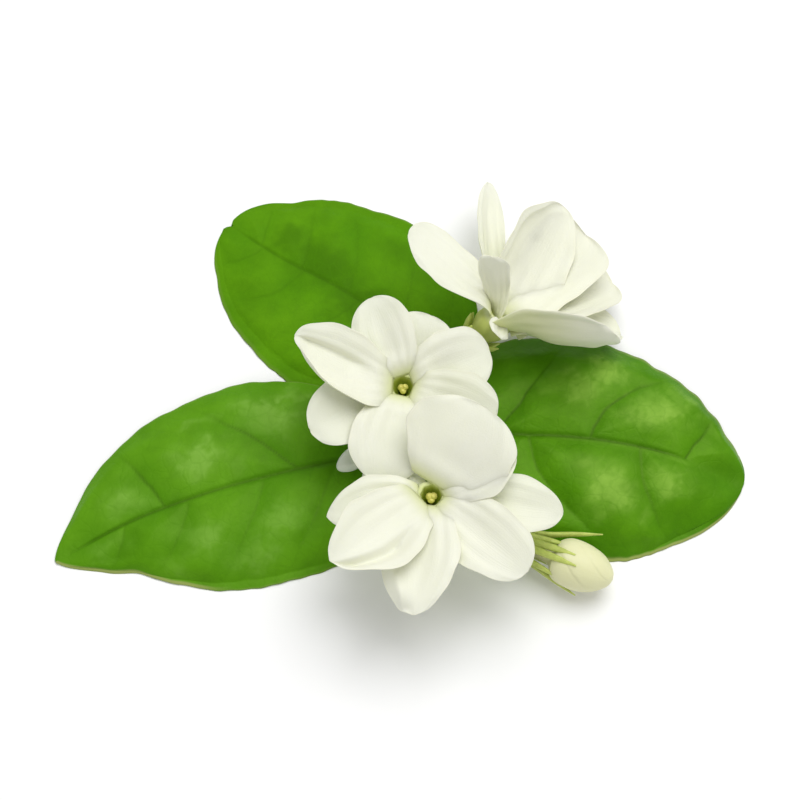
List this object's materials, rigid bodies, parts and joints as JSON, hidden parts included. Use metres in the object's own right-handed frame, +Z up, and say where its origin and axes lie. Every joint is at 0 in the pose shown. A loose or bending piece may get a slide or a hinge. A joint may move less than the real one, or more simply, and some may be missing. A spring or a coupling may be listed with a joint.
{
  "type": "jasmine sprig",
  "caption": "Cut jasmine sprig lying flat: glossy oval leaves in a whorl round a short twig, with open white flowers on slender tubes and pale closed buds.",
  "frame": {"origin": "middle of the sprig's bounding box, on the surface it lies on", "axes": "+Z up from the surface, +X along the longest way from the lower left leaf's tip to the right leaf's tip, +Y away from the front"},
  "size_m": [0.1, 0.0694, 0.0224],
  "materials": {
    "leaf_green": "waxy and glossy, with impressed veins",
    "petal_white": "soft satin, faintly translucent",
    "bud_cream": "soft satin",
    "calyx_green": "satin",
    "style_yellow": "matte",
    "stem_green": "satin green bark"
  },
  "bodies": {
    "root": {"leaf_upper_left": "leaf_green", "leaf_lower_left": "leaf_green", "leaf_right": "leaf_green", "flower_1_corolla": "petal_white", "flower_1_calyx": "calyx_green", "flower_1_style": "style_yellow", "flower_2_corolla": "petal_white", "flower_2_calyx": "calyx_green", "flower_2_style": "style_yellow", "flower_3_corolla": "petal_white", "flower_3_calyx": "calyx_green", "flower_3_style": "style_yellow", "bud_1_corolla": "bud_cream", "bud_1_calyx": "calyx_green", "bud_2_corolla": "bud_cream", "bud_2_calyx": "calyx_green", "stem": "stem_green"}
  },
  "joints": []
}
